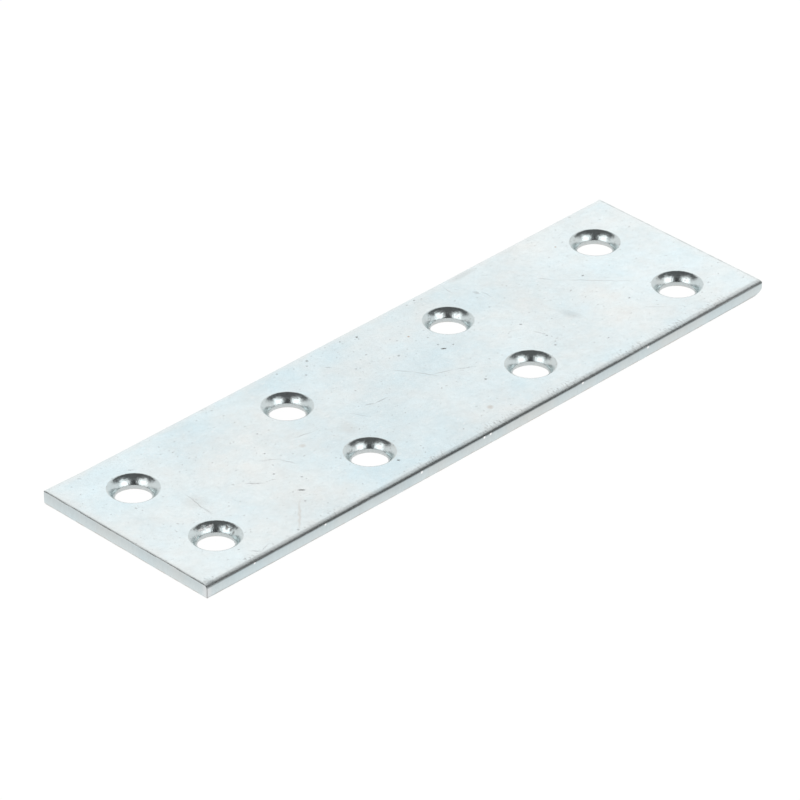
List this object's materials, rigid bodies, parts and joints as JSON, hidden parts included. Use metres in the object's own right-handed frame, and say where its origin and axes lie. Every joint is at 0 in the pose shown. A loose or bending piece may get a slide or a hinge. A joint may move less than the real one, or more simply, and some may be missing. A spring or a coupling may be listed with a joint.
{
  "type": "mending plate",
  "caption": "Flat rectangular steel plate with two rows of countersunk screw holes, for joining or reinforcing timber or panels that lie in one plane.",
  "frame": {"origin": "centre of the plate's box at its underside", "axes": "+X along the length, +Y across the width, +Z out of the countersunk face"},
  "size_m": [0.1354, 0.0404, 0.0025],
  "materials": {
    "zinc_plated_steel": "bright clear-passivated zinc plating on mild steel, with a faint iridescence, fine scratches and small pits"
  },
  "bodies": {
    "root": {"plate": "zinc_plated_steel"}
  },
  "joints": []
}
